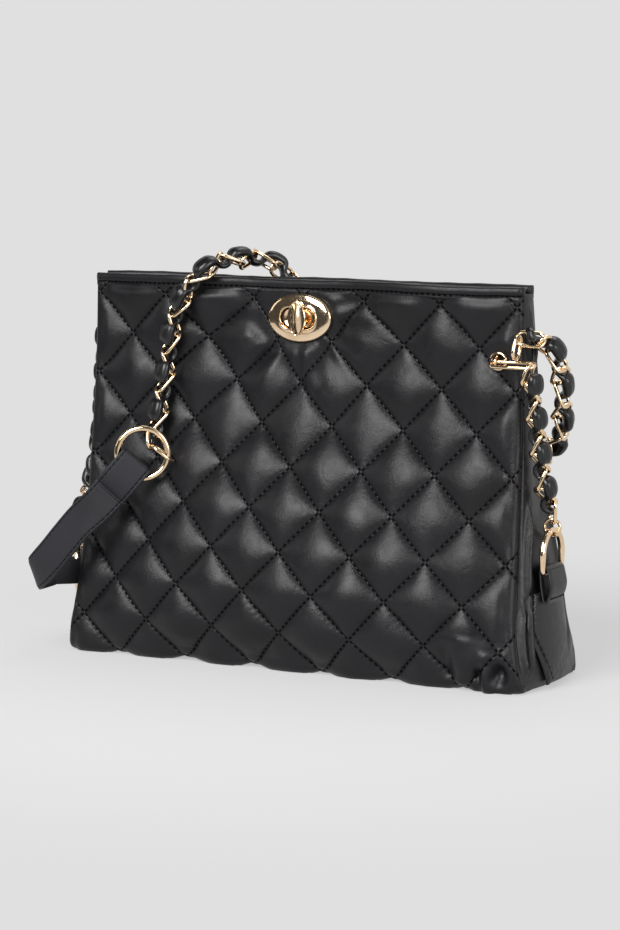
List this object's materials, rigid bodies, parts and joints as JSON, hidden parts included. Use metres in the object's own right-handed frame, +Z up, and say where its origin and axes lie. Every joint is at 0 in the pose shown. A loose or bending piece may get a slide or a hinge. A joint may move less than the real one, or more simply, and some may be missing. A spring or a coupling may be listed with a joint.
{
  "type": "chain shoulder bag",
  "caption": "Small quilted leather shoulder bag with a laced chain strap, strap rings, a leather shoulder pad and a turn lock.",
  "frame": {"origin": "centre of the base on the floor", "axes": "+X to the right seen from the front, +Z up, the front panel with the turn lock faces -Y"},
  "size_m": [0.2829, 0.0917, 0.2041],
  "materials": {
    "quilted_leather": "soft satin grain",
    "plain_leather": "soft satin grain",
    "pad_leather": "matt smooth",
    "lace_leather": "satin",
    "lining_fabric": "plain weave",
    "board": "matt board",
    "gold_metal": "polished pale gold plate"
  },
  "bodies": {
    "bag": {"front_panel": "quilted_leather", "back_panel": "quilted_leather", "base_panel": "quilted_leather", "gusset_right": "plain_leather", "gusset_left": "plain_leather", "base_board": "board", "lining": "lining_fabric", "rim_binding_front": "plain_leather", "rim_binding_back": "plain_leather", "side_tab_right": "plain_leather", "side_tab_left": "plain_leather", "jump_ring_right": "gold_metal", "jump_ring_left": "gold_metal", "eyelet_front_right": "gold_metal", "eyelet_back_left": "gold_metal", "eyelet_washers": "gold_metal", "eyelet_link_right": "gold_metal", "eyelet_link_left": "gold_metal", "retaining_bars": "gold_metal", "keeper_link_right": "gold_metal", "keeper_link_left": "gold_metal", "lock_plate": "gold_metal", "lock_backing_plate": "gold_metal", "lock_base": "gold_metal", "lock_washer": "gold_metal", "chain_right_drop": "gold_metal", "lace_right_drop": "lace_leather", "chain_strap": "gold_metal", "lace_strap": "lace_leather", "chain_left_rise": "gold_metal", "lace_left_rise": "lace_leather", "chain_left_drop": "gold_metal", "lace_left_drop": "lace_leather", "hook_link_front": "gold_metal", "hook_link_rear": "gold_metal", "shoulder_pad": "pad_leather"},
    "knob": {"lock_knob": "gold_metal"},
    "d_right": {"d_ring_right": "gold_metal"},
    "d_left": {"d_ring_left": "gold_metal"},
    "ring_front": {"strap_ring_front": "gold_metal"},
    "ring_rear": {"strap_ring_rear": "gold_metal"}
  },
  "joints": [
    {"name": "turn_knob", "type": "hinge", "parent": "bag", "child": "knob", "pos_m": [-0.0027, -0.017, 0.171], "axis": [0, -1, 0], "range_deg": [0, 90]},
    {"name": "swing_d_right", "type": "hinge", "parent": "bag", "child": "d_right", "pos_m": [0.12795, -0.00597, 0.056], "axis": [0, 1, 0], "range_deg": [-4, 4]},
    {"name": "swing_d_left", "type": "hinge", "parent": "bag", "child": "d_left", "pos_m": [-0.12972, 0.00303, 0.056], "axis": [0, 1, 0], "range_deg": [-4, 4]},
    {"name": "swing_ring_front", "type": "hinge", "parent": "bag", "child": "ring_front", "pos_m": [-0.08574, -0.04039, 0.0934], "axis": [0.6693, 0.3557, -0.6523], "range_deg": [0, 4]},
    {"name": "swing_ring_rear", "type": "hinge", "parent": "bag", "child": "ring_rear", "pos_m": [-0.13083, -0.01592, 0.0386], "axis": [0, 0, 1], "range_deg": [-3, 3]}
  ]
}
